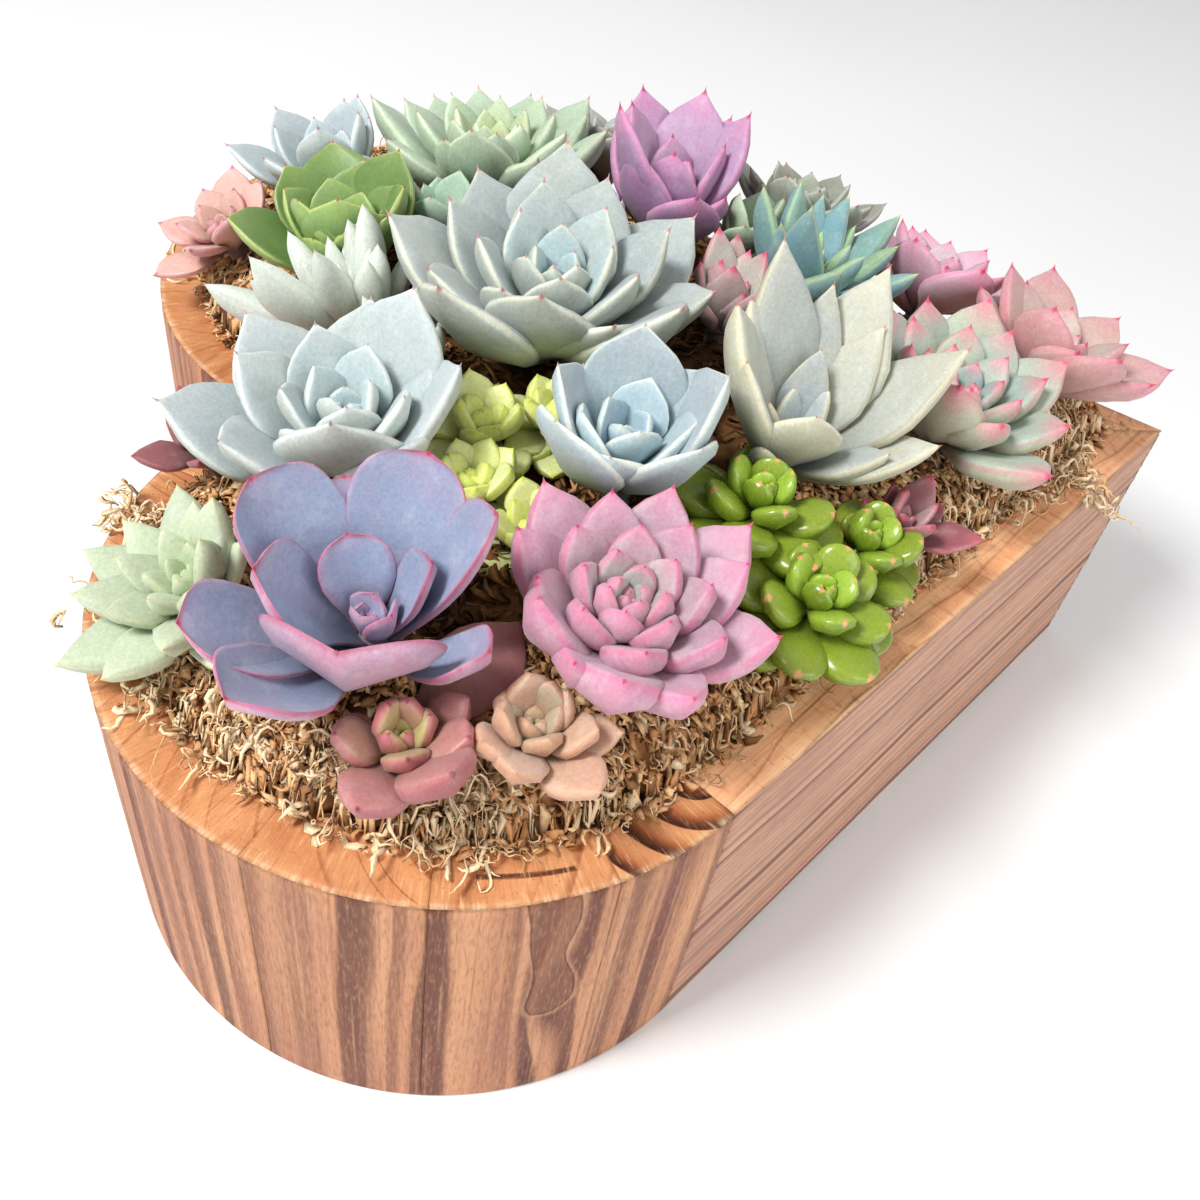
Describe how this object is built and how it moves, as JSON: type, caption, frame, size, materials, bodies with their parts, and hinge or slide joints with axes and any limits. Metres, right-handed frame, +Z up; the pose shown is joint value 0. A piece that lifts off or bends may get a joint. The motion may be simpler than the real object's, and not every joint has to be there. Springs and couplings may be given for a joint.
{
  "type": "succulent planter arrangement",
  "caption": "Heart-shaped wooden planter filled with pastel succulent rosettes bedded in dried moss.",
  "frame": {"origin": "middle of the heart's plan, on the planter's underside", "axes": "+Z up, the heart's tip towards -Y, its two lobes towards +Y"},
  "size_m": [0.3004, 0.2985, 0.1641],
  "materials": {
    "cedar": "brushed and lightly scorched softwood, matt",
    "plywood": "plain plywood",
    "soil": "dark crumbly potting soil",
    "dried_moss": "dry curled moss ribbons",
    "sedum_leaves": "smooth satin leaves",
    "bead_leaves": "glossy round leaves",
    "lavender_leaves": "powdery matt leaves",
    "pink_leaves": "powdery matt leaves",
    "blue_crown_leaves": "powdery matt leaves",
    "blue_left_leaves": "powdery matt leaves",
    "blue_bud_leaves": "powdery matt leaves",
    "spire_leaves": "powdery matt leaves",
    "fern_green_leaves": "powdery matt leaves",
    "silver_leaves": "powdery matt leaves",
    "silver_sprig_leaves": "powdery matt leaves",
    "dusk_leaves": "powdery matt leaves",
    "mint_leaves": "powdery matt leaves",
    "violet_leaves": "powdery matt leaves",
    "sage_leaves": "powdery matt leaves",
    "teal_leaves": "powdery matt leaves",
    "mauve_leaves": "powdery matt leaves",
    "peach_leaves": "powdery matt leaves",
    "ruby_tip_leaves": "powdery matt leaves",
    "rose_leaves": "powdery matt leaves",
    "apricot_leaves": "powdery matt leaves",
    "celadon_leaves": "powdery matt leaves",
    "garnet_leaves": "powdery matt leaves",
    "wine_leaves": "powdery matt leaves",
    "mocha_leaves": "powdery matt leaves",
    "blush_leaves": "powdery matt leaves",
    "ash_leaves": "powdery matt leaves",
    "jade_sprig_leaves": "powdery matt leaves",
    "slate_sprig_leaves": "powdery matt leaves",
    "lime_sprig_leaves": "powdery matt leaves",
    "coral_sprig_leaves": "powdery matt leaves"
  },
  "bodies": {
    "root": {"apricot_rosette": "apricot_leaves", "ash_rosette": "ash_leaves", "base_board": "plywood", "bead_head_a": "bead_leaves", "bead_head_b": "bead_leaves", "bead_head_c": "bead_leaves", "blue_bud_rosette": "blue_bud_leaves", "blue_crown_rosette": "blue_crown_leaves", "blue_left_rosette": "blue_left_leaves", "blush_rosette": "blush_leaves", "celadon_rosette": "celadon_leaves", "coral_sprig_rosette": "coral_sprig_leaves", "dusk_rosette": "dusk_leaves", "fern_green_rosette": "fern_green_leaves", "garnet_rosette": "garnet_leaves", "jade_sprig_rosette": "jade_sprig_leaves", "lavender_rosette": "lavender_leaves", "lime_sprig_rosette": "lime_sprig_leaves", "lobe_block_left_1": "cedar", "lobe_block_left_2": "cedar", "lobe_block_left_3": "cedar", "lobe_block_left_4": "cedar", "lobe_block_left_5": "cedar", "lobe_block_left_6": "cedar", "lobe_block_left_7": "cedar", "lobe_block_left_8": "cedar", "lobe_block_right_1": "cedar", "lobe_block_right_2": "cedar", "lobe_block_right_3": "cedar", "lobe_block_right_4": "cedar", "lobe_block_right_5": "cedar", "lobe_block_right_6": "cedar", "lobe_block_right_7": "cedar", "lobe_block_right_8": "cedar", "mauve_rosette": "mauve_leaves", "mint_rosette": "mint_leaves", "mocha_rosette": "mocha_leaves", "moss_bed": "dried_moss", "peach_rosette": "peach_leaves", "pink_rosette": "pink_leaves", "potting_soil": "soil", "rose_rosette": "rose_leaves", "ruby_tip_rosette": "ruby_tip_leaves", "sage_rosette": "sage_leaves", "sedum_head_a": "sedum_leaves", "sedum_head_b": "sedum_leaves", "sedum_head_c": "sedum_leaves", "sedum_head_d": "sedum_leaves", "side_board_left": "cedar", "side_board_right": "cedar", "silver_rosette": "silver_leaves", "silver_sprig_rosette": "silver_sprig_leaves", "slate_sprig_rosette": "slate_sprig_leaves", "spire_rosette": "spire_leaves", "teal_rosette": "teal_leaves", "violet_rosette": "violet_leaves", "wine_rosette": "wine_leaves"}
  },
  "joints": []
}
